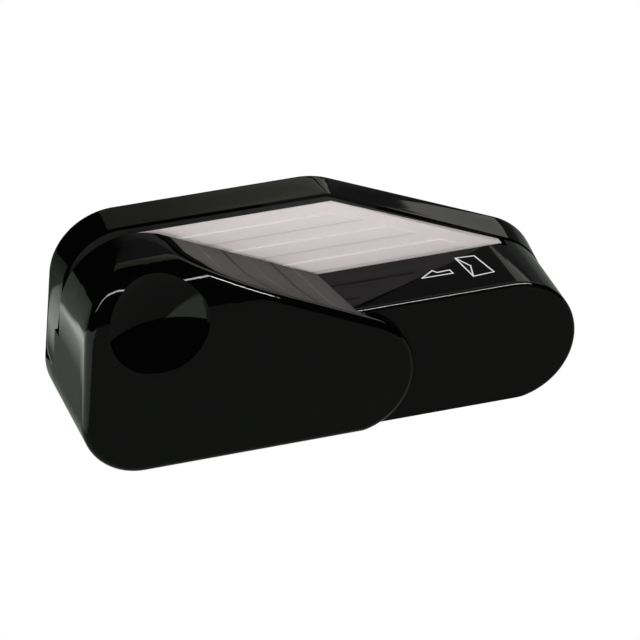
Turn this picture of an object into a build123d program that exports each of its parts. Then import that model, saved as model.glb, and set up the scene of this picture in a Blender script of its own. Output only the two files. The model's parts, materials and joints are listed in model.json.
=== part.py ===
"""Electric letter opener: a black desk machine that trims the edge off envelopes.

Millimetres. +X runs along the machine to the right, +Y to the back, +Z up.  The origin is the
middle of the footprint, on the surface that the machine stands on.
"""
from build123d import *
import math
import os

os.makedirs("parts", exist_ok=True)

# ---------------------------------------------------------------- driving dimensions
half_length = 170.0          # the machine is 340 mm long
cover_face_y = -47.0         # front of the hinged cover
shelf_face_y = -36.0         # front of the lower lobe that carries the shelf
slot_front_y = 15.6          # front side of the envelope slot
parting_y = 26.0             # back side of the slot and seam to the rear housing
back_y = 47.0
foot_height = 2.0
wall = 2.5
seam = 0.4                   # gap round the moving cover
slot_floor_z = 77.0
slot_end_x = half_length - 30.0    # closed end of the slot
shelf_left_x = -12.0         # where the front housing ends under the cover

# circles that the outlines are drawn round, as (x, z, radius)
base_corner_radius = 41.0
base_corner_z = foot_height + base_corner_radius
lobe_radius = 45.1
head_x = -half_length + 52.0       # middle of the cover's rounded head
base_corner = (-half_length + base_corner_radius, base_corner_z, base_corner_radius)
lobe = (half_length - lobe_radius, lobe_radius, lobe_radius)
cover_front_circles = [base_corner, (head_x, 102.5, 49.0), (11.0, 45.5, 44.5)]
cover_slot_circles = [base_corner, (head_x, 95.6, 48.9), (11.0, 45.0, 39.7)]
rear_front_circles = [
    base_corner,
    (head_x - 4.0, 104.4, 40.0),
    (15.7, 132.3, 12.0),
    (lobe[0] - 0.5, 45.9, 45.6),
]
rear_back_circles = [
    base_corner,
    (head_x - 3.5, 104.7, 44.5),
    (1.3, 89.2, 60.0),
    (lobe[0] - 4.1, 49.2, 49.2),
]

# hood: above this height the cover's face curves back as a quarter ellipse
hood_z = 108.0
hood_depth = 33.0
hood_rise = 36.0
hood_back_rise = 5.0         # rise of the top from the hood to the back
hood_crease = 6.0            # rounding round the face and the hood

# finger dish in the cover
dish_centre = (head_x, cover_face_y + 8.7, hood_z)
dish_radius = 33.5
dish_tilt = 16.0
dish_depth = 9.0

shelf_edge = 3.0             # rounding along the front of the shelf
back_edge = 2.5              # rounding round the back

# cover hinge, along X at the foot of the cover's face
hinge_y = -43.0
hinge_z = 6.0
hinge_xs = (-half_length + 65.0, -25.0)
hinge_pin_radius = 1.25
knuckle_radius = 3.0
ear_radius = 2.7
ear_width = 6.0
knuckle_width = 5.0
hinge_side_gap = 0.3
ear_relief = 3.0             # radius cleared in the cover's wall round each ear
pin_clearance = 0.05

# base plate
plate_thickness = 2.0
base_left_x = -half_length + 31.0
base_right_x = half_length - 36.0
base_front_y = -36.5
base_flange_z = 22.0
foot_radius = 6.5
foot_taper = 0.8

# gear train and rollers, all on vertical axes
train_x = -half_length + 78.0      # middle of the roller frame
module = 1.0
pressure_angle = 20.0
addendum = 0.8
dedendum = 1.1
backlash = 0.16
roller_teeth = 27
idler_teeth = 26
wheel_teeth = 32
pinion_teeth = 12
stud_xy = (train_x, 8.0)
roller_y = 2.6
shaft_radius = 3.0
shaft_overrun = 2.0
running_fit = 0.05
gear_z = (62.0, 67.0)
wheel_z = (56.0, 60.5)
hub_radius = 6.0
roller_radius = 18.0
roller_core_radius = 13.5
core_hole_radius = 2.2
core_holes = 6
roller_z = (83.0, 100.0)
front_blade_radius = 19.4
front_blade_z = (78.0, 79.5)
bush_radius = 5.0
bush_flange = 1.0
bush_flange_radius = 6.2

# frame plates
lower_plate_z = (52.0, 54.0)
upper_plate_z = (106.0, 108.0)
frame_x = (train_x - 45.0, train_x + 45.0)
lower_plate_y = (-33.0, 14.0)
upper_plate_y = (-24.0, 13.0)
post_radius = 3.0
post_inset = 3.0
lower_posts = [
    (frame_x[0] + post_inset, -29.0),
    (frame_x[1] - post_inset, -29.0),
    (frame_x[1] - post_inset, 10.0),
    (frame_x[0] + post_inset, 0.5),
]
upper_posts = [(frame_x[0] + post_inset, -20.0), (frame_x[1] - post_inset, -20.0)]

# motor
motor_radius = 17.0
motor_z = (8.5, 52.0)
motor_boss_radius = 12.0
motor_shaft_radius = 1.6

# rear bracket, back rollers
bracket_x = (train_x - 42.0, train_x + 39.0)
bracket_floor_z = (70.0, 72.0)
bracket_roof_z = (106.0, 108.0)
bracket_web_y = (42.0, 44.0)
rear_axis_y = 31.5
rear_roller_radius = 9.7
rear_blade_radius = 10.2
rear_blade_z = (79.6, 81.1)
arm_pivot = (train_x, 36.0)
press_axis = (train_x + 26.0, 30.2)
press_radius = 9.0
press_pin_radius = 2.0
arm_pin_radius = 2.5
arm_hub_radius = 4.5
arm_leaf_z = ((78.5, 80.5), (102.0, 104.0))
spring_wire = 0.9
spring_turns = 5
spring_low_z = 82.0
spring_pitch = 2.4
spring_gap = 0.2             # between the arm's hub and the coil

# chip drawer
drawer_x = (train_x - 44.0, train_x - 2.0)
drawer_y = (5.0, back_y)
drawer_z = (6.8, 41.0)
drawer_wall = 1.6
drawer_gap = 0.4
drawer_front = 2.5
finger_pull = (20.0, 9.0)    # width and height of the hollow in the drawer's front
finger_pull_depth = 1.2

# feed plate behind the slot
plate_bottom_z = 87.6
plate_top_z = 138.0
plate_bottom_y = 20.0
plate_top_y = 25.3
plate_apex_x = 20.4
plate_right_x = slot_end_x - 2.5
plate_left_top_x = train_x - 20.0
plate_left_low_z = 130.0
plate_left_foot_x = -22.0
rib_drop = 7.9
rib_pitch = 15.8
rib_height = 8.6
rib_count = 3
rib_raise = 1.0
rib_edge = 0.8
rib_inset = 18.0
rib_left_x = train_x + 8.0
rib_step_x = 30.0
rib_slant = 4.0

# electrical parts
inlet_width = 30.0
inlet_centre_x = half_length - 59.0
inlet_x = (inlet_centre_x - inlet_width / 2, inlet_centre_x + inlet_width / 2)
inlet_z = (18.0, 41.0)
inlet_depth = 15.0
inlet_wall = 1.5
inlet_pin = (2.0, 4.0, 12.0)
inlet_pin_pitch = 7.0
inlet_earth_rise = 4.0
rocker_width = 14.0
rocker_centre_x = inlet_centre_x - 34.0
rocker_x = (rocker_centre_x - rocker_width / 2, rocker_centre_x + rocker_width / 2)
rocker_z = (19.0, 40.0)
rocker_frame_wall = 1.8
rocker_frame_depth = 14.0
rocker_axis_depth = 6.0
rocker_gap = 0.3
rocker_swing = 14.0          # full travel; the rocker rests at one end of it
rocker_stub_radius = 1.2
sensor_axis = (train_x + 64.0, 34.0)
sensor_tip = (train_x + 50.0, 19.5)
sensor_z = (79.5, 83.5)
sensor_pin_radius = 1.5
sensor_boss_radius = 3.4
sensor_lever_width = 3.0
sensor_ear = 2.0             # thickness of the ears that hold its pin
sensor_ear_gap = 0.3
switch_x = (sensor_axis[0] + 6.0, sensor_axis[0] + 22.0)
switch_depth = 8.5
switch_z = (76.0, 87.0)
switch_tag = (1.6, 4.0, 3.0)
transformer_x = (half_length - 100.0, half_length - 58.0)
transformer_y = (-26.0, 8.0)
transformer_top_z = 44.0
coil_inset = 8.0             # the coil is shorter than the core and stands out of it
coil_bulge = 3.5
board_length = 58.0
board_x = transformer_x[0] - 4.0 - board_length
board_thickness = 1.6
board_top_z = 56.0

magnet_xz = (14.0, 62.0)
magnet_radius = 5.0
magnet_thickness = 3.0
strike_thickness = 1.6
strike_gap = 0.4
strike_boss_wall = 1.5

shelf_print = 0.12           # thickness of the printed signs
sign_line = 0.9
sign_x = half_length - 60.0

vent_count = 8
vent_x = train_x + 16.0
vent_pitch = 7.0
vent_width = 2.4
vent_z = (18.0, 44.0)
screw_head_radius = 3.0
screw_radius = 1.5
screw_head = 1.4
screw_slot = (4.0, 0.9)
screw_spots = [
    (-half_length + 20.0, 60.0),
    (-60.0, 12.0),
    (40.0, 12.0),
    (half_length - 22.0, 60.0),
    (20.0, 118.0),
]
ledge_left_x = -half_length + 5.2  # left end of the slot's floor, just inside the cover
shelf_z = 2 * lobe_radius


# ---------------------------------------------------------------- helpers
def keep(builder, name):
    """Label a finished piece and write it."""
    builder.part.label = name
    export_step(builder.part, f"parts/{name}.step")


def middle(span):
    return (span[0] + span[1]) / 2


def block(x, y, z, mode=Mode.ADD):
    """Box between low and high values on each axis."""
    with Locations((middle(x), middle(y), middle(z))):
        Box(x[1] - x[0], y[1] - y[0], z[1] - z[0], mode=mode)


def rod(xy, z, radius, mode=Mode.ADD):
    """Upright cylinder."""
    with Locations((xy[0], xy[1], middle(z))):
        Cylinder(radius, z[1] - z[0], mode=mode)


def rod_y(xz, y, radius, mode=Mode.ADD):
    """Cylinder from front to back."""
    with Locations(Location((xz[0], middle(y), xz[1]), (90, 0, 0))):
        Cylinder(radius, y[1] - y[0], mode=mode)


def rod_x(yz, x, radius, mode=Mode.ADD):
    """Cylinder from left to right."""
    with Locations(Location((middle(x), yz[0], yz[1]), (0, 90, 0))):
        Cylinder(radius, x[1] - x[0], mode=mode)


def on_circle(circle, angle):
    return circle[0] + circle[2] * math.cos(angle), circle[1] + circle[2] * math.sin(angle)


def foot_angle(circle, side, floor):
    """Angle at which a circle meets the floor, or its lowest point where it stays above it."""
    drop = min(circle[2], circle[1] - floor)
    return -math.pi / 2 + side * math.acos(drop / circle[2])


def outline(y, circles, inset=0.0):
    """Face at depth y drawn tightly round circles, listed clockwise from the lower left."""
    floor = foot_height + inset
    rounds = [(x, z, radius - inset) for x, z, radius in circles]
    tangents = []
    for one, two in zip(rounds, rounds[1:]):
        way = math.atan2(two[1] - one[1], two[0] - one[0])
        gap = math.hypot(two[0] - one[0], two[1] - one[1])
        tangents.append(way + math.acos((one[2] - two[2]) / gap))
    starts = [foot_angle(rounds[0], -1, floor) + 2 * math.pi] + tangents
    ends = tangents + [foot_angle(rounds[-1], 1, floor)]
    with BuildSketch(Plane.XZ.offset(-y)) as face:
        with BuildLine():
            for circle, start, end in zip(rounds, starts, ends):
                turn = (start - end) % (2 * math.pi)
                ThreePointArc(*[on_circle(circle, start - turn * share) for share in (0, 0.5, 1)])
            for one, two, angle in zip(rounds, rounds[1:], tangents):
                Line(on_circle(one, angle), on_circle(two, angle))
            Line(on_circle(rounds[-1], ends[-1]), on_circle(rounds[0], starts[0]))
        make_face()
    return face.sketch


def between(first, second, share):
    """Circles part of the way from one outline to another, or past it."""
    return [
        tuple(a + (b - a) * share for a, b in zip(one, two))
        for one, two in zip(first, second)
    ]


def tapered(front_y, front, rear_y, rear, inset=0.0):
    """Solid lofted between two outlines."""
    with BuildPart() as body:
        loft([outline(front_y, front, inset), outline(rear_y, rear, inset)], ruled=True)
    return body.part


def gear_face(centre, teeth, phase):
    """Involute spur gear outline, with a tooth centred on the phase angle (radians)."""
    pitch = module * teeth / 2
    base = pitch * math.cos(math.radians(pressure_angle))
    tip = pitch + addendum * module
    root = pitch - dedendum * module
    start = max(base, root)

    def involute(angle):
        return math.tan(angle) - angle

    half_pitch = math.pi / (2 * teeth) - backlash / (2 * pitch)
    radii = [start + (tip - start) * step / 4 for step in range(5)]
    flank = []
    for radius in radii:
        turn = involute(math.radians(pressure_angle)) - involute(math.acos(base / radius))
        flank.append((radius, half_pitch + turn))
    points = []
    for tooth in range(teeth):
        middle_angle = phase + 2 * math.pi * tooth / teeth
        side = [(root, flank[0][1])] + flank if root < start else flank
        for radius, half in side:
            points.append((radius, middle_angle - half))
        for radius, half in reversed(side):
            points.append((radius, middle_angle + half))
    with BuildSketch() as face:
        with BuildLine():
            Polyline(
                *[
                    (centre[0] + radius * math.cos(angle), centre[1] + radius * math.sin(angle))
                    for radius, angle in points
                ],
                close=True,
            )
        make_face()
    return face.sketch


def meshing_phase(phase, teeth, centre, other_teeth, other_centre):
    """Phase of the gear that meshes with a gear of the given phase."""
    line = math.atan2(other_centre[1] - centre[1], other_centre[0] - centre[0])
    return line + math.pi - (phase - line) * teeth / other_teeth + math.pi / other_teeth


# ---------------------------------------------------------------- derived places
roller_offset_y = roller_y - stud_xy[1]
gear_spacing = module * (roller_teeth + idler_teeth) / 2
roller_offset_x = math.sqrt(gear_spacing ** 2 - roller_offset_y ** 2)
exit_xy = (stud_xy[0] - roller_offset_x, roller_y)
entry_xy = (stud_xy[0] + roller_offset_x, roller_y)
motor_xy = (stud_xy[0], stud_xy[1] - module * (wheel_teeth + pinion_teeth) / 2)
rear_xy = (exit_xy[0], rear_axis_y)
inner_floor_z = foot_height + wall
plate_z = (inner_floor_z, inner_floor_z + plate_thickness)
inner_back_y = back_y - wall
wall_back_y = parting_y + wall
sensor_reach_x = sensor_axis[0] - sensor_tip[0] + 8.0
sensor_pin_z = (
    sensor_z[0] - sensor_ear_gap - sensor_ear,
    sensor_z[1] + sensor_ear_gap + sensor_ear,
)
cover_rear_y = parting_y - seam
cover_slot_length = slot_front_y - cover_face_y
cover_rear_circles = between(
    cover_front_circles, cover_slot_circles, (cover_rear_y - cover_face_y) / cover_slot_length
)
dish_angle = math.radians(dish_tilt)
dish_normal = (0.0, -math.cos(dish_angle), math.sin(dish_angle))
dish_ball = (dish_radius ** 2 + dish_depth ** 2) / (2 * dish_depth)
dish_ball_centre = tuple(
    c + (dish_ball - dish_depth) * n for c, n in zip(dish_centre, dish_normal)
)


# ---------------------------------------------------------------- front cover
def hood_section(inset):
    """Side view of the cover's face and hood, as a face that is extruded along X."""
    front = cover_face_y + inset
    top = hood_z + hood_rise - inset
    with BuildSketch(Plane.YZ.offset(-200)) as side:
        with BuildLine():
            Line((front, -20), (front, hood_z))
            EllipticalCenterArc(
                (cover_face_y + hood_depth, hood_z),
                hood_depth - inset,
                hood_rise - inset,
                start_angle=90,
                arc_size=90,
            )
            Polyline(
                (cover_face_y + hood_depth, top),
                (60, top + hood_back_rise),
                (60, -20),
                (front, -20),
            )
        make_face()
    return side.sketch


def cover_body(inset):
    """Cover's outside, or its cavity when inset by the wall."""
    body = tapered(cover_face_y, cover_front_circles, cover_rear_y + inset, cover_rear_circles, inset)
    with BuildPart() as hood:
        extrude(hood_section(inset), amount=400, dir=(1, 0, 0))
    with BuildPart() as shaped:
        add(body)
        add(hood.part, mode=Mode.INTERSECT)
    return shaped.part


def hood_edge(edge):
    """True where the face and its hood meet the sides and the top."""
    box = edge.bounding_box()
    spot = edge.center()
    on_face = box.min.Y < cover_face_y + hood_depth - 1 and box.max.Y < 0 and edge.length > 2
    return on_face and spot.Z > foot_height + 5 and abs(spot.Z - hood_z) > 0.5


cover_outside = cover_body(0.0)
dish_plane = Plane(origin=dish_centre, x_dir=(1, 0, 0), z_dir=dish_normal)
shelf_block = ((shelf_left_x - seam, 300), (shelf_face_y - seam, 200), (-10, shelf_z + seam))
with BuildPart() as dish_tool:
    with Locations(dish_plane.location):
        Cylinder(dish_radius, 80, align=(Align.CENTER, Align.CENTER, Align.CENTER))
    with Locations(dish_ball_centre):
        Sphere(dish_ball, mode=Mode.INTERSECT)
with BuildPart() as dish_back:
    with Locations(dish_plane.location):
        Cylinder(dish_radius + wall, 80, align=(Align.CENTER, Align.CENTER, Align.CENTER))
    with Locations(dish_ball_centre):
        Sphere(dish_ball + wall, mode=Mode.INTERSECT)
    add(cover_outside, mode=Mode.INTERSECT)

with BuildPart() as front_cover:
    add(cover_outside)
    fillet(front_cover.edges().filter_by(hood_edge), hood_crease)
    add(cover_body(wall), mode=Mode.SUBTRACT)
    add(dish_back.part)
    add(dish_tool.part, mode=Mode.SUBTRACT)
    block((-300, 300), (slot_front_y, 200), (slot_floor_z - seam, 300), mode=Mode.SUBTRACT)
    block(*shelf_block, mode=Mode.SUBTRACT)
    # open underneath, so that the cover lifts off the base plate
    block((base_left_x - 1, 300), (hinge_y + knuckle_radius, 200), (-10, 12), mode=Mode.SUBTRACT)
    for x in hinge_xs:
        for side in (-1, 1):
            start = x + side * (ear_width / 2 + hinge_side_gap)
            rod_x((hinge_y, hinge_z), sorted((start, start + side * knuckle_width)), knuckle_radius)
        rod_x(
            (hinge_y, hinge_z),
            (x - ear_width / 2 - hinge_side_gap, x + ear_width / 2 + hinge_side_gap),
            ear_relief,
            mode=Mode.SUBTRACT,
        )
        # room for the base plate's arm when the cover swings down
        block(
            (x - ear_width / 2 - hinge_side_gap, x + ear_width / 2 + hinge_side_gap),
            (cover_face_y + wall, hinge_y + knuckle_radius + 1),
            (foot_height - 1, hinge_z),
            mode=Mode.SUBTRACT,
        )
        reach = ear_width / 2 + hinge_side_gap + knuckle_width
        rod_x((hinge_y, hinge_z), (x - reach, x + reach), hinge_pin_radius, mode=Mode.SUBTRACT)
    # boss that carries the strike disc of the closing magnet
    rod_y(
        magnet_xz,
        (cover_face_y + wall - 0.5, shelf_face_y - strike_gap - strike_thickness),
        magnet_radius + strike_boss_wall,
    )
keep(front_cover, "front_cover")

with BuildPart() as cover_hinge_pins:
    for x in hinge_xs:
        reach = ear_width / 2 + hinge_side_gap + knuckle_width
        rod_x((hinge_y, hinge_z), (x - reach, x + reach), hinge_pin_radius)
keep(cover_hinge_pins, "cover_hinge_pins")

with BuildPart() as cover_strike_disc:
    rod_y(
        magnet_xz,
        (shelf_face_y - strike_gap - strike_thickness, shelf_face_y - strike_gap),
        magnet_radius,
    )
keep(cover_strike_disc, "cover_strike_disc")


# ---------------------------------------------------------------- front housing
def lobe_body(inset, back):
    """Lower right lobe between its face and the given depth, or its cavity."""
    left = shelf_left_x + inset
    centre_x, centre_z, radius = lobe
    top = centre_z + radius - inset
    low = centre_z - radius + inset
    with BuildPart() as body:
        with BuildSketch(Plane.XZ.offset(-(shelf_face_y + inset))):
            with BuildLine():
                Polyline((centre_x, low), (left, low), (left, top), (centre_x, top))
                ThreePointArc((centre_x, top), (centre_x + radius - inset, centre_z), (centre_x, low))
            make_face()
        extrude(amount=-(back - shelf_face_y - inset))
        block((-300, 300), (-200, 200), (-100, foot_height + inset), mode=Mode.SUBTRACT)
    return body.part


def shelf_front_edge(edge):
    """True along the shelf and round the lobe, but not at the left end or the bottom."""
    spot = edge.center()
    on_face = edge.bounding_box().max.Y < shelf_face_y + 0.01
    return on_face and spot.Z > foot_height + 1 and spot.X > shelf_left_x + 1


with BuildPart() as front_housing:
    add(lobe_body(0.0, parting_y))
    fillet(front_housing.edges().filter_by(shelf_front_edge), shelf_edge)
    block((-300, slot_end_x), (slot_front_y, 200), (slot_floor_z, 300), mode=Mode.SUBTRACT)
    with BuildPart(mode=Mode.PRIVATE) as lobe_cavity:
        add(lobe_body(wall, parting_y + 1))
        block(
            (-300, slot_end_x + wall),
            (slot_front_y - wall, 200),
            (slot_floor_z - wall, 300),
            mode=Mode.SUBTRACT,
        )
    add(lobe_cavity.part, mode=Mode.SUBTRACT)
    # the base plate runs in under the left end
    block(
        (shelf_left_x - 1, shelf_left_x + wall + 1),
        (shelf_face_y + wall, parting_y + 1),
        (inner_floor_z, 40),
        mode=Mode.SUBTRACT,
    )
    rod_y(
        magnet_xz,
        (shelf_face_y, shelf_face_y + magnet_thickness),
        magnet_radius,
        mode=Mode.SUBTRACT,
    )
keep(front_housing, "front_housing")

with BuildPart() as closing_magnet:
    rod_y(magnet_xz, (shelf_face_y, shelf_face_y + magnet_thickness), magnet_radius)
keep(closing_magnet, "closing_magnet")


# ---------------------------------------------------------------- rear housing
def rear_body(inset):
    return tapered(parting_y, rear_front_circles, back_y, rear_back_circles, inset)


with BuildPart() as rear_cavity:
    add(rear_body(wall))
    block((-300, 300), (inner_back_y, 200), (-100, 300), mode=Mode.SUBTRACT)
with BuildPart() as rear_housing:
    add(rear_body(0.0))
    fillet(
        rear_housing.edges().filter_by(lambda e: e.bounding_box().min.Y > back_y - 0.01 and e.length > 1),
        back_edge,
    )
    add(rear_cavity.part, mode=Mode.SUBTRACT)
    block(
        (drawer_x[0] - drawer_gap, drawer_x[1] + drawer_gap),
        (wall_back_y + 5, 200),
        (drawer_z[0] - drawer_gap, drawer_z[1] + drawer_gap),
        mode=Mode.SUBTRACT,
    )
    block(inlet_x, (wall_back_y + 5, 200), inlet_z, mode=Mode.SUBTRACT)
    block(rocker_x, (wall_back_y + 5, 200), rocker_z, mode=Mode.SUBTRACT)
    for row in range(vent_count):
        x = vent_x + row * vent_pitch
        block((x - vent_width / 2, x + vent_width / 2), (wall_back_y + 5, 200), vent_z, mode=Mode.SUBTRACT)
    for spot in screw_spots:
        rod_y(spot, (back_y - screw_head, back_y + 1), screw_head_radius, Mode.SUBTRACT)
        rod_y(spot, (wall_back_y + 1, back_y + 1), screw_radius, Mode.SUBTRACT)
keep(rear_housing, "rear_housing")


# ---------------------------------------------------------------- slot wall and feed plate
with BuildPart() as slot_wall:
    add(tapered(parting_y, rear_front_circles, back_y, rear_back_circles, wall + seam / 2))
    block((-300, 300), (wall_back_y, 200), (-100, 300), mode=Mode.SUBTRACT)
    # floor of the slot, left of the front housing
    block(
        (ledge_left_x, shelf_left_x - seam),
        (slot_front_y + seam, parting_y),
        (slot_floor_z - wall, slot_floor_z),
    )
    # chips from the blades fall through the floor
    chip_hole = rear_blade_radius + 1.0
    block(
        (rear_xy[0] - chip_hole, rear_xy[0] + chip_hole),
        (slot_front_y - 1, wall_back_y + 1),
        (bracket_floor_z[0] - 2.0, bracket_roof_z[1] + 2.0),
        mode=Mode.SUBTRACT,
    )
    block(
        (press_axis[0] - press_radius - 6.0, press_axis[0] + press_radius + 1.5),
        (parting_y - 1, wall_back_y + 1),
        (arm_leaf_z[0][0] - 0.5, arm_leaf_z[1][1] + 0.5),
        mode=Mode.SUBTRACT,
    )
    block(
        (sensor_axis[0] - sensor_reach_x, sensor_axis[0]),
        (parting_y - 1, wall_back_y + 1),
        (sensor_z[0] - 0.5, sensor_z[1] + 0.5),
        mode=Mode.SUBTRACT,
    )
    block(
        (drawer_x[0] - drawer_gap, drawer_x[1] + drawer_gap),
        (parting_y - 1, wall_back_y + 1),
        (0, drawer_z[1] + drawer_gap),
        mode=Mode.SUBTRACT,
    )
    # ears behind the wall that hold the sensor's pin
    for ear_z in (
        (sensor_pin_z[0], sensor_z[0] - sensor_ear_gap),
        (sensor_z[1] + sensor_ear_gap, sensor_pin_z[1]),
    ):
        block(
            (sensor_axis[0] - 4, sensor_axis[0] + 4),
            (wall_back_y - 0.5, sensor_axis[1] + 4),
            ear_z,
        )
    rod(sensor_axis, (60, 100), sensor_pin_radius, mode=Mode.SUBTRACT)
keep(slot_wall, "slot_wall")


def on_plate(z):
    """Depth of the feed plate's face at a height."""
    rise = (z - plate_bottom_z) / (plate_top_z - plate_bottom_z)
    return plate_bottom_y + (plate_top_y - plate_bottom_y) * rise


def plate_right(z):
    """Right edge of the feed plate at a height."""
    rise = (z - plate_bottom_z) / (plate_top_z - plate_bottom_z)
    return plate_right_x + (plate_apex_x - plate_right_x) * rise


def leaning_slab(low, high, raise_by):
    """Side view of the feed plate between two heights, reaching in front of its face."""
    with BuildSketch(Plane.YZ.offset(-200)) as side:
        with BuildLine():
            Polyline(
                (on_plate(low) - raise_by, low),
                (on_plate(high) - raise_by, high),
                (parting_y, high),
                (parting_y, low),
                close=True,
            )
        make_face()
    return side.sketch


with BuildPart() as feed_plate:
    extrude(leaning_slab(plate_bottom_z, plate_top_z, 0.0), amount=400, dir=(1, 0, 0))
    with BuildPart(mode=Mode.PRIVATE) as plate_blank:
        with BuildSketch(Plane.XZ):
            with BuildLine():
                Polyline(
                    (plate_left_foot_x, plate_bottom_z),
                    (plate_right_x, plate_bottom_z),
                    (plate_apex_x, plate_top_z),
                    (plate_left_top_x, plate_top_z),
                    (plate_left_top_x, plate_left_low_z),
                    close=True,
                )
            make_face()
        extrude(amount=-60)
    add(plate_blank.part, mode=Mode.INTERSECT)
    for rib in range(rib_count):
        top = plate_top_z - rib_drop - rib * rib_pitch
        low = top - rib_height
        left = rib_left_x + rib * rib_step_x
        with BuildPart(mode=Mode.PRIVATE) as rib_blank:
            with BuildSketch(Plane.XZ):
                with BuildLine():
                    Polyline(
                        (left, low),
                        (plate_right(low) - rib_inset, low),
                        (plate_right(top) - rib_inset, top),
                        (left - rib_slant, top),
                        close=True,
                    )
                make_face()
            extrude(amount=-60)
        with BuildPart(mode=Mode.PRIVATE) as rib_bar:
            extrude(leaning_slab(low, top, rib_raise), amount=400, dir=(1, 0, 0))
            add(rib_blank.part, mode=Mode.INTERSECT)
            fillet(rib_bar.faces().sort_by(Axis.Y)[0].edges(), rib_edge)
        add(rib_bar.part)
keep(feed_plate, "feed_plate")


# ---------------------------------------------------------------- signs on the shelf
# corners of the signs, to the right of sign_x
envelope_points = [(-9.8, 7.0), (3.1, 6.1), (8.6, -17.3), (-6.1, -18.4)]
envelope_flap = (-3.4, -5.2)
arrow_points = [
    (-38.8, -10.3),
    (-29.5, -3.3),
    (-27.1, -6.4),
    (-18.3, -6.0),
    (-17.5, -10.6),
]


def sign_lines(points):
    """Thin printed lines along a list of points on top of the shelf."""
    for (x0, y0), (x1, y1) in zip(points, points[1:]):
        length = math.hypot(x1 - x0, y1 - y0)
        turn = math.degrees(math.atan2(y1 - y0, x1 - x0))
        spot = (sign_x + (x0 + x1) / 2, (y0 + y1) / 2, shelf_z + shelf_print / 2)
        with Locations(Location(spot, (0, 0, turn))):
            Box(length + sign_line, sign_line, shelf_print)


with BuildPart() as shelf_signs:
    sign_lines(envelope_points + envelope_points[:1])
    sign_lines([envelope_points[0], envelope_flap, envelope_points[3]])
    sign_lines(arrow_points + arrow_points[:1])
keep(shelf_signs, "shelf_signs")


# ---------------------------------------------------------------- base plate and feet
feet = [
    ((base_left_x + 9.0, -28.0), plate_z[0]),
    ((-half_length + 48.0, 37.0), foot_height),
    ((0.0, 37.0), foot_height),
    ((half_length - 46.0, -24.0), foot_height),
    ((half_length - 46.0, 37.0), foot_height),
    ((0.0, -24.0), foot_height),
]

with BuildPart() as base_plate:
    block((base_left_x, base_right_x), (base_front_y, parting_y), plate_z)
    # narrower inside the front housing
    block(
        (shelf_left_x - seam, 300),
        (-60, shelf_face_y + wall + seam),
        (0, 20),
        mode=Mode.SUBTRACT,
    )
    block(
        (drawer_x[1] + 8.0, shelf_left_x - 4.0),
        (parting_y - plate_thickness, parting_y),
        (plate_z[0], base_flange_z),
    )
    for x in hinge_xs:
        half = ear_width / 2
        block((x - half, x + half), (hinge_y, base_front_y + 1), plate_z)
        rod_x((hinge_y, hinge_z), (x - half, x + half), ear_radius)
        rod_x((hinge_y, hinge_z), (x - half, x + half), hinge_pin_radius + pin_clearance, Mode.SUBTRACT)
keep(base_plate, "base_plate")

with BuildPart() as feet_group:
    for spot, top in feet:
        with Locations((spot[0], spot[1], top)):
            Cone(
                foot_radius - foot_taper,
                foot_radius,
                top,
                align=(Align.CENTER, Align.CENTER, Align.MAX),
            )
keep(feet_group, "rubber_feet")


# ---------------------------------------------------------------- frame plates
with BuildPart() as lower_frame_plate:
    block(frame_x, lower_plate_y, lower_plate_z)
    for spot in (exit_xy, entry_xy):
        rod(spot, lower_plate_z, bush_radius, Mode.SUBTRACT)
    rod(stud_xy, lower_plate_z, shaft_radius, Mode.SUBTRACT)
    rod(motor_xy, lower_plate_z, hub_radius, Mode.SUBTRACT)
keep(lower_frame_plate, "lower_frame_plate")

with BuildPart() as upper_frame_plate:
    block(frame_x, upper_plate_y, upper_plate_z)
    for spot in (exit_xy, entry_xy):
        rod(spot, upper_plate_z, bush_radius, Mode.SUBTRACT)
    rod(stud_xy, upper_plate_z, shaft_radius, Mode.SUBTRACT)
keep(upper_frame_plate, "upper_frame_plate")

with BuildPart() as frame_posts:
    for spot in lower_posts:
        rod(spot, (plate_z[1], lower_plate_z[0]), post_radius)
    for spot in upper_posts:
        rod(spot, (lower_plate_z[1], upper_plate_z[0]), post_radius)
keep(frame_posts, "frame_posts")

with BuildPart() as gear_stud:
    rod(stud_xy, (lower_plate_z[0], upper_plate_z[1]), shaft_radius)
    rod(stud_xy, (gear_z[1] + 1.5, upper_plate_z[0]), shaft_radius + 1.5)
keep(gear_stud, "gear_stud")

with BuildPart() as shaft_bushes:
    for spot in (exit_xy, entry_xy):
        for plate, inner in ((lower_plate_z, 1), (upper_plate_z, 0)):
            rod(spot, plate, bush_radius)
            inside = plate[inner]
            flange = sorted((inside, inside + (2 * inner - 1) * bush_flange))
            rod(spot, flange, bush_flange_radius)
        rod(spot, (40, 120), shaft_radius + running_fit, Mode.SUBTRACT)
    for plate in (bracket_floor_z, bracket_roof_z):
        rod(rear_xy, plate, bush_radius)
    rod(rear_xy, (60, 120), shaft_radius + running_fit, Mode.SUBTRACT)
keep(shaft_bushes, "shaft_bushes")


# ---------------------------------------------------------------- rollers and gears
exit_phase = 0.0
idler_phase = meshing_phase(exit_phase, roller_teeth, exit_xy, idler_teeth, stud_xy)
entry_phase = meshing_phase(idler_phase, idler_teeth, stud_xy, roller_teeth, entry_xy)
wheel_phase = 0.0
pinion_phase = meshing_phase(wheel_phase, wheel_teeth, stud_xy, pinion_teeth, motor_xy)


def gear(centre, teeth, phase, z):
    """Gear blank with teeth, added to the part being built."""
    extrude(gear_face(centre, teeth, phase).moved(Location((0, 0, z[0]))), amount=z[1] - z[0])


def roller_shaft(spot, extra_z):
    rod(spot, (lower_plate_z[0] - extra_z, upper_plate_z[1] + extra_z), shaft_radius)


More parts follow.
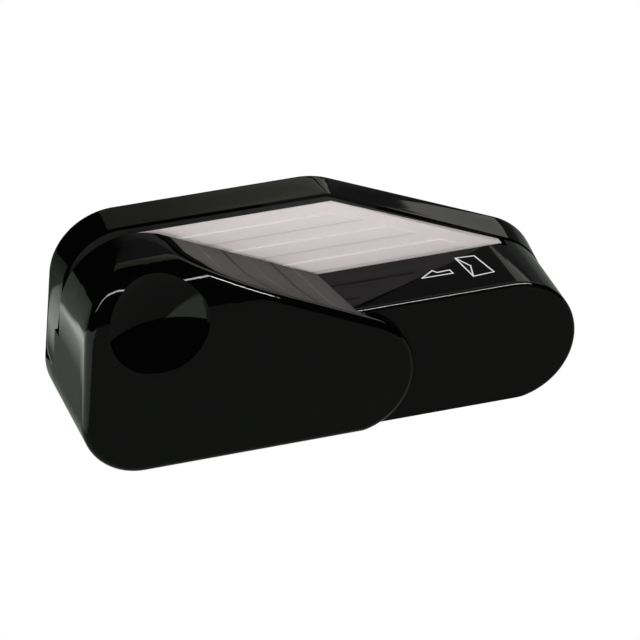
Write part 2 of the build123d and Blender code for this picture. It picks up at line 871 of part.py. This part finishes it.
rollers = (
    ("exit", exit_xy, exit_phase, front_blade_z[1]),
    ("entry", entry_xy, entry_phase, gear_z[1]),
)
for side, spot, phase, collar_low in rollers:
    with BuildPart() as shaft:
        roller_shaft(spot, shaft_overrun)
        rod(spot, (collar_low, roller_z[0]), hub_radius)
        rod(spot, (roller_z[1], roller_z[1] + 1.5), hub_radius)
    keep(shaft, f"{side}_roller_shaft")
    with BuildPart() as core:
        rod(spot, roller_z, roller_core_radius)
        rod(spot, roller_z, shaft_radius, Mode.SUBTRACT)
        with Locations((spot[0], spot[1], middle(roller_z))):
            with PolarLocations((shaft_radius + roller_core_radius) / 2, core_holes):
                Cylinder(core_hole_radius, 60, mode=Mode.SUBTRACT)
    keep(core, f"{side}_roller_core")
    with BuildPart() as tyre:
        rod(spot, roller_z, roller_radius)
        rod(spot, roller_z, roller_core_radius, Mode.SUBTRACT)
        chamfer(tyre.edges().filter_by(GeomType.CIRCLE).sort_by(SortBy.RADIUS)[-2:], 0.8)
    keep(tyre, f"{side}_roller_tyre")
    with BuildPart() as wheel:
        gear(spot, roller_teeth, phase, gear_z)
        rod(spot, (gear_z[0] - 1.5, gear_z[1]), hub_radius)
        rod(spot, (40, 80), shaft_radius, Mode.SUBTRACT)
    keep(wheel, f"{side}_gear")

with BuildPart() as front_blade:
    rod(exit_xy, front_blade_z, front_blade_radius)
    rod(exit_xy, (gear_z[1], front_blade_z[0]), hub_radius + 2)
    chamfer(
        front_blade.edges().filter_by(GeomType.CIRCLE).group_by(SortBy.RADIUS)[-1].sort_by(Axis.Z)[0],
        0.8,
    )
    rod(exit_xy, (40, 120), shaft_radius, Mode.SUBTRACT)
keep(front_blade, "front_cutting_disc")

with BuildPart() as compound_gear:
    gear(stud_xy, idler_teeth, idler_phase, gear_z)
    gear(stud_xy, wheel_teeth, wheel_phase, wheel_z)
    rod(stud_xy, (lower_plate_z[1] + 0.3, gear_z[1] + 1.2), hub_radius)
    rod(stud_xy, (40, 80), shaft_radius + running_fit, Mode.SUBTRACT)
keep(compound_gear, "compound_gear")


# ---------------------------------------------------------------- motor
with BuildPart() as motor_can:
    rod(motor_xy, motor_z, motor_radius)
    rod(motor_xy, (plate_z[1], motor_z[0]), motor_boss_radius)
    chamfer(motor_can.edges().filter_by(GeomType.CIRCLE).sort_by(SortBy.RADIUS)[-2:], 1.2)
    rod(motor_xy, (30, 60), motor_shaft_radius + running_fit, Mode.SUBTRACT)
keep(motor_can, "motor_can")

with BuildPart() as motor_shaft:
    rod(motor_xy, (32, wheel_z[1] + 1.0), motor_shaft_radius)
keep(motor_shaft, "motor_shaft")

with BuildPart() as motor_pinion:
    gear(motor_xy, pinion_teeth, pinion_phase, wheel_z)
    rod(motor_xy, (lower_plate_z[1] - 0.5, wheel_z[0]), 3.6)
    rod(motor_xy, (40, 80), motor_shaft_radius, Mode.SUBTRACT)
keep(motor_pinion, "motor_pinion")


# ---------------------------------------------------------------- rear bracket and rollers
with BuildPart() as rear_bracket:
    for plate in (bracket_floor_z, bracket_roof_z):
        block(bracket_x, (wall_back_y, bracket_web_y[1]), plate)
        rod(rear_xy, plate, bush_radius, Mode.SUBTRACT)
        rod(arm_pivot, plate, arm_pin_radius, Mode.SUBTRACT)
    block(bracket_x, bracket_web_y, (bracket_floor_z[0], bracket_roof_z[1]))
keep(rear_bracket, "rear_bracket")

with BuildPart() as rear_shaft:
    rod(rear_xy, (bracket_floor_z[0] - 1.5, bracket_roof_z[1] + 1.5), shaft_radius)
    rod(rear_xy, (bracket_floor_z[1] + 0.2, rear_blade_z[0]), shaft_radius + 2)
    rod(rear_xy, (roller_z[1], bracket_roof_z[0] - 0.2), shaft_radius + 2)
keep(rear_shaft, "rear_roller_shaft")

with BuildPart() as rear_blade:
    rod(rear_xy, rear_blade_z, rear_blade_radius)
    rod(rear_xy, rear_blade_z, shaft_radius, Mode.SUBTRACT)
keep(rear_blade, "rear_cutting_disc")

with BuildPart() as rear_roller:
    rod(rear_xy, (rear_blade_z[1], roller_z[1]), rear_roller_radius)
    rod(rear_xy, (rear_blade_z[1], roller_z[1]), shaft_radius, Mode.SUBTRACT)
keep(rear_roller, "rear_roller_tyre")

with BuildPart() as arm_pivot_pin:
    rod(arm_pivot, (bracket_floor_z[0] - 1, bracket_roof_z[1] + 1), arm_pin_radius)
keep(arm_pivot_pin, "arm_pivot_pin")

arm_length = math.hypot(press_axis[0] - arm_pivot[0], press_axis[1] - arm_pivot[1])
arm_turn = math.degrees(math.atan2(press_axis[1] - arm_pivot[1], press_axis[0] - arm_pivot[0]))
arm_place = Location(
    (middle((arm_pivot[0], press_axis[0])), middle((arm_pivot[1], press_axis[1])), 0),
    (0, 0, arm_turn),
)
with BuildPart() as pressure_arm:
    for leaf in arm_leaf_z:
        with BuildSketch(Plane.XY.offset(leaf[0])):
            with Locations(arm_place):
                SlotCenterToCenter(arm_length, 2 * arm_hub_radius)
        extrude(amount=leaf[1] - leaf[0])
    rod(arm_pivot, (arm_leaf_z[0][0], arm_leaf_z[1][1]), arm_hub_radius)
    rod(arm_pivot, (60, 120), arm_pin_radius + running_fit, Mode.SUBTRACT)
    rod(press_axis, (60, 120), press_pin_radius, Mode.SUBTRACT)
keep(pressure_arm, "pressure_arm")

with BuildPart() as press_pin:
    rod(press_axis, (arm_leaf_z[0][0], arm_leaf_z[1][1]), press_pin_radius)
keep(press_pin, "pressure_roller_pin")

with BuildPart() as press_roller:
    rod(press_axis, (roller_z[0], roller_z[1]), press_radius)
    rod(press_axis, (arm_leaf_z[0][1] + 0.3, arm_leaf_z[1][0] - 0.3), press_pin_radius + 2.2)
    rod(press_axis, (60, 120), press_pin_radius + running_fit, Mode.SUBTRACT)
keep(press_roller, "pressure_roller")

spring_radius = arm_hub_radius + spring_gap + spring_wire / 2
with BuildPart() as arm_spring:
    with BuildLine():
        coil = Helix(
            spring_pitch,
            spring_pitch * spring_turns,
            spring_radius,
            center=(arm_pivot[0], arm_pivot[1], spring_low_z),
        )
    with BuildSketch(Plane(origin=coil @ 0, z_dir=coil % 0)):
        Circle(spring_wire / 2)
    sweep()
keep(arm_spring, "arm_spring")


# ---------------------------------------------------------------- envelope sensor
sensor_turn = math.atan2(sensor_tip[1] - sensor_axis[1], sensor_tip[0] - sensor_axis[0])
sensor_reach = math.hypot(sensor_tip[0] - sensor_axis[0], sensor_tip[1] - sensor_axis[1])
sensor_place = Location(
    (middle((sensor_axis[0], sensor_tip[0])), middle((sensor_axis[1], sensor_tip[1])), 0),
    (0, 0, math.degrees(sensor_turn)),
)
with BuildPart() as sensor_lever:
    with BuildSketch(Plane.XY.offset(sensor_z[0])):
        with Locations(sensor_place):
            SlotCenterToCenter(sensor_reach, sensor_lever_width)
        with Locations(sensor_axis):
            Circle(sensor_boss_radius)
    extrude(amount=sensor_z[1] - sensor_z[0])
    rod(sensor_axis, (60, 100), sensor_pin_radius + pin_clearance, Mode.SUBTRACT)
keep(sensor_lever, "sensor_lever")

with BuildPart() as sensor_pin:
    rod(sensor_axis, sensor_pin_z, sensor_pin_radius)
keep(sensor_pin, "sensor_pin")

with BuildPart() as sensor_switch:
    switch_back_y = wall_back_y + switch_depth
    block(switch_x, (wall_back_y, switch_back_y), switch_z)
    for x in (switch_x[0] + 2.0, switch_x[0] + 9.0):
        block(
            (x, x + switch_tag[0]),
            (switch_back_y, switch_back_y + switch_tag[1]),
            (middle(switch_z) - switch_tag[2] / 2, middle(switch_z) + switch_tag[2] / 2),
        )
keep(sensor_switch, "sensor_switch")


# ---------------------------------------------------------------- chip drawer
with BuildPart() as chip_drawer:
    block(drawer_x, drawer_y, drawer_z)
    block(
        (drawer_x[0] + drawer_wall, drawer_x[1] - drawer_wall),
        (drawer_y[0] + drawer_wall, drawer_y[1] - drawer_front),
        (drawer_z[0] + drawer_wall, 100),
        mode=Mode.SUBTRACT,
    )
    # finger pull in the drawer's front
    with Locations((middle(drawer_x), drawer_y[1], middle(drawer_z) + 4)):
        Box(finger_pull[0], 2 * finger_pull_depth, finger_pull[1], mode=Mode.SUBTRACT)
keep(chip_drawer, "chip_drawer")


# ---------------------------------------------------------------- power inlet and switch
with BuildPart() as power_inlet:
    block(inlet_x, (back_y - inlet_depth - inlet_wall, back_y - 0.2), inlet_z)
    block(
        (inlet_x[0] + inlet_wall, inlet_x[1] - inlet_wall),
        (back_y - inlet_depth, back_y + 1),
        (inlet_z[0] + inlet_wall, inlet_z[1] - inlet_wall),
        mode=Mode.SUBTRACT,
    )
keep(power_inlet, "power_inlet")

with BuildPart() as inlet_pins:
    for step, lift in ((-1, 0.0), (0, inlet_earth_rise), (1, 0.0)):
        centre = inlet_centre_x + step * inlet_pin_pitch
        low = middle(inlet_z) - 3 + lift
        block(
            (centre - inlet_pin[0] / 2, centre + inlet_pin[0] / 2),
            (back_y - inlet_depth, back_y - inlet_depth + inlet_pin[2]),
            (low, low + inlet_pin[1]),
        )
keep(inlet_pins, "inlet_pins")

rocker_axis = (back_y - rocker_axis_depth, middle(rocker_z))
with BuildPart() as rocker_frame:
    block(rocker_x, (back_y - rocker_frame_depth, back_y - 0.2), rocker_z)
    block(
        (rocker_x[0] + rocker_frame_wall, rocker_x[1] - rocker_frame_wall),
        (back_y - rocker_frame_depth + rocker_frame_wall, back_y + 1),
        (rocker_z[0] + rocker_frame_wall, rocker_z[1] - rocker_frame_wall),
        mode=Mode.SUBTRACT,
    )
    rod_x(rocker_axis, rocker_x, rocker_stub_radius + pin_clearance, Mode.SUBTRACT)
keep(rocker_frame, "rocker_frame")

rocker_side = rocker_frame_wall + rocker_gap
rocker_half = (rocker_z[1] - rocker_z[0]) / 2 - rocker_frame_wall - 1.2
rocker_rest = math.radians(-rocker_swing / 2)
rocker_outline = [
    (-2.0, -3.0),
    (1.5, -rocker_half),
    (4.6, -rocker_half),
    (3.6, 0.0),
    (4.6, rocker_half),
    (1.5, rocker_half),
    (-2.0, 3.0),
]
with BuildPart() as power_rocker:
    with BuildSketch(Plane.YZ.offset(rocker_x[0] + rocker_side)):
        with BuildLine():
            Polyline(
                *[
                    (
                        rocker_axis[0] + y * math.cos(rocker_rest) - z * math.sin(rocker_rest),
                        rocker_axis[1] + y * math.sin(rocker_rest) + z * math.cos(rocker_rest),
                    )
                    for y, z in rocker_outline
                ],
                close=True,
            )
        make_face()
    extrude(amount=rocker_x[1] - rocker_x[0] - 2 * rocker_side)
    rod_x(rocker_axis, (rocker_x[0] + 0.6, rocker_x[1] - 0.6), rocker_stub_radius)
keep(power_rocker, "power_rocker")


# ---------------------------------------------------------------- transformer and board
with BuildPart() as transformer:
    block(transformer_x, transformer_y, (plate_z[1], transformer_top_z))
    block(
        (transformer_x[0] + coil_inset, transformer_x[1] - coil_inset),
        (transformer_y[0] - coil_bulge, transformer_y[1] + coil_bulge),
        (plate_z[1] + coil_inset, transformer_top_z - coil_inset),
    )
keep(transformer, "transformer")

with BuildPart() as control_board:
    block((board_x, board_x + board_length), (0.0, board_thickness), (plate_z[1], board_top_z))
keep(control_board, "control_board")

# each part of the board as (x from the board's left end, y, z)
board_parts = [
    ((6.0, 20.0), (-9.0, 0.0), (12.0, 26.0)),
    ((26.0, 32.0), (-12.0, 0.0), (14.0, 20.0)),
    ((36.0, 52.0), (-7.0, 0.0), (12.0, 24.0)),
    ((8.0, 16.0), (-3.0, 0.0), (34.0, 50.0)),
    ((24.0, 50.0), (-3.4, 0.0), (36.0, 44.0)),
]
with BuildPart() as board_components:
    for part_x, part_y, part_z in board_parts:
        block((board_x + part_x[0], board_x + part_x[1]), part_y, part_z)
keep(board_components, "board_components")


# ---------------------------------------------------------------- screws
with BuildPart() as rear_screws:
    for spot in screw_spots:
        rod_y(spot, (back_y - screw_head, back_y), screw_head_radius)
        rod_y(spot, (wall_back_y, back_y - screw_head), screw_radius)
        with Locations((spot[0], back_y, spot[1])):
            Box(screw_slot[0], screw_head, screw_slot[1], mode=Mode.SUBTRACT)
            Box(screw_slot[1], screw_head, screw_slot[0], mode=Mode.SUBTRACT)
keep(rear_screws, "rear_screws")
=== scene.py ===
"""Looks of an electric letter opener: finishes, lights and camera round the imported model.

Metres, in the model's frame: +X runs along the machine to the right, +Y to the back, +Z up.
"""
import json
import math

import bmesh
import bpy
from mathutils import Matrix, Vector


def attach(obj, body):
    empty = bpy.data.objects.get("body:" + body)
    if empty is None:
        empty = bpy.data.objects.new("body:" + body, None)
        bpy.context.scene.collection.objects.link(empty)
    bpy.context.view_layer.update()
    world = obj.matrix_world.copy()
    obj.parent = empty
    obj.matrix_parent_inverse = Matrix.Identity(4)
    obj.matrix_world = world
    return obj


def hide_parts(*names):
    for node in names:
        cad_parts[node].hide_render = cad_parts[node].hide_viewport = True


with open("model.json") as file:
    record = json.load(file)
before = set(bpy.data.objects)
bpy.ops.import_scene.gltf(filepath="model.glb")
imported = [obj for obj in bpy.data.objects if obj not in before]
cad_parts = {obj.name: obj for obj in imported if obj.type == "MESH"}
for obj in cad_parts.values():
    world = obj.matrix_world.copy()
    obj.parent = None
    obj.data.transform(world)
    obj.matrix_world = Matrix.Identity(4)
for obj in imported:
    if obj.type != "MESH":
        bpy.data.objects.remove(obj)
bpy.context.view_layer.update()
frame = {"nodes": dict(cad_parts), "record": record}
nodes = frame["nodes"]
record = frame["record"]
node_body = {node: body for body, members in record["behaviour"]["bodies"].items() for node in members}
node_slot = {entry["node"]: entry["material_slot"] for entry in record["subparts"]}

WHITE = (1.0, 1.0, 1.0)


# ---------------------------------------------------------------- node helpers
def ramp(tree, value, low, high, first=0.0, last=1.0):
    """Value mapped from low..high to first..last, clamped."""
    made = tree.nodes.new("ShaderNodeMapRange")
    for socket, number in zip(("From Min", "From Max", "To Min", "To Max"), (low, high, first, last)):
        made.inputs[socket].default_value = number
    tree.links.new(value, made.inputs["Value"])
    return made.outputs["Result"]


def axes(tree, place):
    """The X, Y and Z outputs of a place."""
    made = tree.nodes.new("ShaderNodeSeparateXYZ")
    tree.links.new(place, made.inputs["Vector"])
    return made.outputs


def calculate(tree, operation, *values):
    made = tree.nodes.new("ShaderNodeMath")
    made.operation = operation
    for value, socket in zip(values, made.inputs):
        tree.links.new(value, socket)
    return made.outputs["Value"]


def emission(tree, tint=WHITE):
    made = tree.nodes.new("ShaderNodeEmission")
    made.inputs["Color"].default_value = (*tint, 1)
    return made


def choose(tree, factor, otherwise, then):
    """The second shader where the factor is 1, else the first."""
    made = tree.nodes.new("ShaderNodeMixShader")
    for value, socket in zip((factor, otherwise, then), made.inputs):
        tree.links.new(value, socket)
    return made.outputs["Shader"]


class Shader:
    """A material being built round one Principled BSDF, with positions in object space."""

    def __init__(self, name, roughness, metallic=0.0, **sockets):
        self.material = bpy.data.materials.new(name)
        self.material.use_nodes = True
        self.tree = self.material.node_tree
        self.bsdf = self.tree.nodes["Principled BSDF"]
        self.bsdf.inputs["Roughness"].default_value = roughness
        self.bsdf.inputs["Metallic"].default_value = metallic
        for socket, value in sockets.items():
            self.bsdf.inputs[socket].default_value = value
        self.place = self.tree.nodes.new("ShaderNodeTexCoord").outputs["Object"]

    def surface(self, output):
        """Show this output in place of the Principled BSDF."""
        self.tree.links.new(output, self.tree.nodes["Material Output"].inputs["Surface"])

    def stretched(self, scale):
        """Object position, scaled by axis."""
        mapping = self.tree.nodes.new("ShaderNodeMapping")
        mapping.inputs["Scale"].default_value = scale
        self.tree.links.new(self.place, mapping.inputs["Vector"])
        return mapping.outputs["Vector"]

    def noise(self, size, detail, place=None):
        """Noise value from 0 to 1 whose features are about the given size in metres."""
        made = self.tree.nodes.new("ShaderNodeTexNoise")
        made.inputs["Scale"].default_value = 1 / size
        made.inputs["Detail"].default_value = detail
        self.tree.links.new(place or self.place, made.inputs["Vector"])
        return made.outputs["Fac"]

    def colour(self, value, first, last):
        """Base colour from first to last by a value."""
        made = self.tree.nodes.new("ShaderNodeMix")
        made.data_type = "RGBA"
        ends = {"A": (*first, 1), "B": (*last, 1)}
        for socket in made.inputs:
            if socket.type == "RGBA":
                socket.default_value = ends[socket.name]
        self.tree.links.new(value, made.inputs["Factor"])
        mixed = next(socket for socket in made.outputs if socket.type == "RGBA")
        self.tree.links.new(mixed, self.bsdf.inputs["Base Color"])

    def rough(self, value, low, high, first, last):
        """Roughness from first to last as the value goes from low to high."""
        self.tree.links.new(ramp(self.tree, value, low, high, first, last), self.bsdf.inputs["Roughness"])

    def bump(self, value, depth):
        """Bump from a height value, this many metres deep."""
        made = self.tree.nodes.new("ShaderNodeBump")
        made.inputs["Strength"].default_value = 1.0
        made.inputs["Distance"].default_value = depth
        self.tree.links.new(value, made.inputs["Height"])
        self.tree.links.new(made.outputs["Normal"], self.bsdf.inputs["Normal"])


# ---------------------------------------------------------------- materials
MOULDED_IOR = 1.2  # low, so that the black shells mirror the pale plate only faintly
DULL = {"Specular IOR Level": 0.1}
BLACK = ((0.0006, 0.0007, 0.0006), (0.0010, 0.0012, 0.0010))


def moulded_gloss(name, dark, light, roughness, peel):
    """Polished moulding with faint orange peel and a few smudges."""
    made = Shader(name, roughness, IOR=MOULDED_IOR)
    made.colour(made.noise(size=0.004, detail=4), dark, light)
    made.rough(made.noise(size=0.035, detail=5), 0.45, 0.75, roughness, roughness * 1.7)
    made.bump(made.noise(size=0.0022, detail=2), peel)
    return made.material


def moulded_matte(name, dark, light, roughness, **sockets):
    """Spark-eroded moulding with a fine grain."""
    made = Shader(name, roughness, **sockets)
    made.colour(made.noise(size=0.006, detail=5), dark, light)
    made.rough(made.noise(size=0.02, detail=4), 0.3, 0.7, roughness * 0.9, roughness * 1.1)
    made.bump(made.noise(size=0.0005, detail=3), 0.00004)
    return made.material


def worked_metal(name, colour, roughness, along):
    """Metal with brushed or turned lines; along is the scale by axis."""
    made = Shader(name, roughness, metallic=1.0)
    lines = made.noise(size=0.0006, detail=4, place=made.stretched(along))
    made.colour(lines, tuple(channel * 0.85 for channel in colour), colour)
    made.rough(lines, 0.3, 0.7, roughness * 0.75, roughness * 1.3)
    made.bump(lines, 0.00002)
    return made.material


def worn_rubber(name, dark, light):
    """Rubber with a rough skin, worn lighter in places."""
    made = Shader(name, 0.75)
    made.colour(made.noise(size=0.003, detail=6), dark, light)
    made.bump(made.noise(size=0.0006, detail=3), 0.00008)
    return made.material


finishes = {
    "gloss_black": moulded_gloss("gloss_black", *BLACK, 0.04, 0.0000012),
    "shell_black": moulded_gloss("shell_black", *BLACK, 0.05, 0.0000015),
    "inner_black": moulded_matte("inner_black", (0.006, 0.006, 0.006), (0.010, 0.010, 0.010), 0.45),
    "feed_grey": moulded_matte("feed_grey", (0.68, 0.617, 0.62), (0.72, 0.657, 0.66), 0.55, **DULL),
    "print_white": moulded_matte("print_white", (0.80, 0.80, 0.80), (0.88, 0.88, 0.88), 0.5, **DULL),
    "steel_plate": worked_metal("steel_plate", (0.62, 0.62, 0.63), 0.38, (1, 12, 12)),
    "steel_rod": worked_metal("steel_rod", (0.66, 0.66, 0.67), 0.25, (1, 1, 14)),
    "blade_steel": worked_metal("blade_steel", (0.78, 0.78, 0.80), 0.12, (3, 3, 14)),
    "bush_brass": worked_metal("bush_brass", (0.70, 0.50, 0.20), 0.35, (2, 2, 14)),
    "nylon_gear": moulded_matte("nylon_gear", (0.72, 0.70, 0.62), (0.80, 0.78, 0.71), 0.45),
    "roller_rubber": worn_rubber("roller_rubber", (0.012, 0.012, 0.012), (0.03, 0.03, 0.03)),
    "foot_rubber": worn_rubber("foot_rubber", (0.010, 0.010, 0.010), (0.02, 0.02, 0.02)),
    "motor_steel": moulded_matte("motor_steel", (0.16, 0.165, 0.18), (0.20, 0.205, 0.22), 0.35),
    "board_green": moulded_gloss("board_green", (0.01, 0.07, 0.025), (0.015, 0.10, 0.04), 0.3, 0.00001),
    "part_dark": moulded_matte("part_dark", (0.012, 0.012, 0.013), (0.02, 0.02, 0.021), 0.5),
    "core_iron": moulded_matte("core_iron", (0.10, 0.085, 0.07), (0.16, 0.13, 0.11), 0.55),
}
finishes["switch_black"] = finishes["shell_black"]
finishes["inlet_black"] = finishes["part_dark"]

for node, piece in nodes.items():
    piece.data.materials.clear()
    piece.data.materials.append(finishes[node_slot[node]])


# ---------------------------------------------------------------- smooth shells
WELD = 1e-6
CREASE = math.radians(30)
SHELLS = ("front_cover", "front_housing", "rear_housing", "feed_plate", "slot_wall", "chip_drawer")


def dress(node):
    """A welded, smooth-shaded skin in place of a moulded CAD node."""
    piece = nodes[node].copy()
    piece.data = nodes[node].data.copy()
    piece.name = node + "_skin"
    piece.parent = None
    for key in list(piece.keys()):
        del piece[key]
    bpy.context.scene.collection.objects.link(piece)
    mesh = bmesh.new()
    mesh.from_mesh(piece.data)
    bmesh.ops.remove_doubles(mesh, verts=mesh.verts, dist=WELD)
    for face in mesh.faces:
        face.smooth = True
    for edge in mesh.edges:
        edge.smooth = edge.is_manifold and edge.calc_face_angle(0) < CREASE
    mesh.to_mesh(piece.data)
    mesh.free()
    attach(piece, node_body[node])
    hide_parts(node)


for shell in SHELLS:
    dress(shell)


# ---------------------------------------------------------------- floor and light
FLOOR_SIZE = 12.0
FLOOR_GREY = (0.82, 0.82, 0.82)
FLOOR_MIRRORED = (0.92, 1.0, 0.90)
EVEN_LIGHT = 0.6


def floor_material():
    """Pale floor: white to the camera; to the gloss a grey sheet with a bright patch behind on the left."""
    made = Shader("pale_floor", 0.9)
    tree = made.tree
    made.bsdf.inputs["Base Color"].default_value = (*FLOOR_GREY, 1)
    place = axes(tree, made.place)
    front_to_back = ramp(tree, place["Y"], -0.06, 0.05, 0.56, 0.30)
    left_end = ramp(tree, place["X"], -0.21, -0.24)
    patch = ramp(tree, place["Y"], 0.18, 0.22, 2.3, 0.2)
    sheet = emission(tree, FLOOR_MIRRORED)
    tree.links.new(calculate(tree, "MULTIPLY_ADD", left_end, patch, front_to_back), sheet.inputs["Strength"])
    ray = tree.nodes.new("ShaderNodeLightPath").outputs
    mirrored = choose(tree, ray["Is Glossy Ray"], made.bsdf.outputs["BSDF"], sheet.outputs["Emission"])
    made.surface(choose(tree, ray["Is Camera Ray"], mirrored, emission(tree).outputs["Emission"]))
    return made.material


def studio_world():
    """Even white light; for the gloss a black room with a dim wall behind, dark on the left."""
    world = bpy.data.worlds.new("studio")
    bpy.context.scene.world = world
    world.use_nodes = True
    tree = world.node_tree
    even = tree.nodes["Background"]
    room = tree.nodes.new("ShaderNodeBackground")
    for light in (even, room):
        light.inputs["Color"].default_value = (*WHITE, 1)
    even.inputs["Strength"].default_value = EVEN_LIGHT
    direction = axes(tree, tree.nodes.new("ShaderNodeTexCoord").outputs["Generated"])
    wall = ramp(tree, direction["Y"], 0.45, 0.75, 0.0, 0.20)
    right = ramp(tree, direction["X"], -0.05, 0.25)
    tree.links.new(calculate(tree, "MULTIPLY", wall, right), room.inputs["Strength"])
    ray = tree.nodes.new("ShaderNodeLightPath").outputs
    seen = choose(tree, ray["Is Glossy Ray"], even.outputs["Background"], room.outputs["Background"])
    tree.links.new(seen, tree.nodes["World Output"].inputs["Surface"])


def card(name, middle, width, height, tilt, fade, tint=WHITE):
    """Bright card that only the gloss sees; fade is x low, x high, first strength, last strength."""
    made = Shader(name, 1.0)
    light = emission(made.tree, tint)
    strength = ramp(made.tree, axes(made.tree, made.place)["X"], *fade)
    made.tree.links.new(strength, light.inputs["Strength"])
    made.surface(light.outputs["Emission"])
    bpy.ops.mesh.primitive_plane_add(size=1.0)
    sheet = bpy.context.object
    sheet.name = name
    for vertex in sheet.data.vertices:
        vertex.co.x *= width
        vertex.co.y *= height
    sheet.location = middle
    sheet.rotation_euler = (tilt, 0, 0)
    sheet.data.materials.append(made.material)
    sheet.visible_camera = False
    sheet.visible_diffuse = False
    sheet.visible_shadow = False


def softbox(name, spot, aim, width, height, power):
    """Rectangular lamp at a spot, facing an aim point, that the gloss doesn't see."""
    data = bpy.data.lights.new(name, "AREA")
    data.shape = "RECTANGLE"
    data.size = width
    data.size_y = height
    data.energy = power
    lamp = bpy.data.objects.new(name, data)
    lamp.location = spot
    lamp.rotation_euler = (Vector(aim) - Vector(spot)).to_track_quat("-Z", "Y").to_euler()
    lamp.visible_glossy = False
    bpy.context.scene.collection.objects.link(lamp)


bpy.ops.mesh.primitive_plane_add(size=FLOOR_SIZE)
floor = bpy.context.object
floor.name = "floor"
floor.data.materials.append(floor_material())

studio_world()

# the first two light the rim of the rear housing, more to the right
card(
    "back_card",
    middle=(0.45, 0.74, 1.0),
    width=1.3,
    height=0.52,
    tilt=0.0,
    fade=(-0.30, -0.15, 0.85, 2.1),
    tint=(1.0, 1.0, 0.86),
)
card(
    "right_card",
    middle=(1.50, 1.20, 1.02),
    width=1.4,
    height=0.90,
    tilt=0.0,
    fade=(-0.6, -0.2, 1.6, 2.3),
    tint=(1.0, 0.99, 0.92),
)
# long strip in front: the thin line on the rounded edges
card(
    "front_strip",
    middle=(-0.085, -0.67, 1.39),
    width=3.03,
    height=0.09,
    tilt=math.radians(27),
    fade=(0.40, 0.50, 45.0, 260.0),
)
softbox("key", spot=(-0.9, -1.4, 0.9), aim=(0, 0, 0.1), width=0.9, height=0.7, power=20)


# ---------------------------------------------------------------- camera
AZIMUTH = math.radians(-18.3)
ELEVATION = math.radians(31.5)
DISTANCE = 3.2766
AIM = Vector((0.0067, 0.0070, 0.0606))
SENSOR_WIDTH = 36.0
FOCAL_LENGTH = 281.25

camera_data = bpy.data.cameras.new("camera")
camera_data.sensor_width = SENSOR_WIDTH
camera_data.lens = FOCAL_LENGTH
camera = bpy.data.objects.new("camera", camera_data)
toward = Vector(
    (
        math.sin(AZIMUTH) * math.cos(ELEVATION),
        -math.cos(AZIMUTH) * math.cos(ELEVATION),
        math.sin(ELEVATION),
    )
)
camera.location = AIM + toward * DISTANCE
camera.rotation_euler = (-toward).to_track_quat("-Z", "Y").to_euler()
bpy.context.scene.collection.objects.link(camera)
bpy.context.scene.camera = camera
bpy.context.scene.view_settings.view_transform = "Standard"
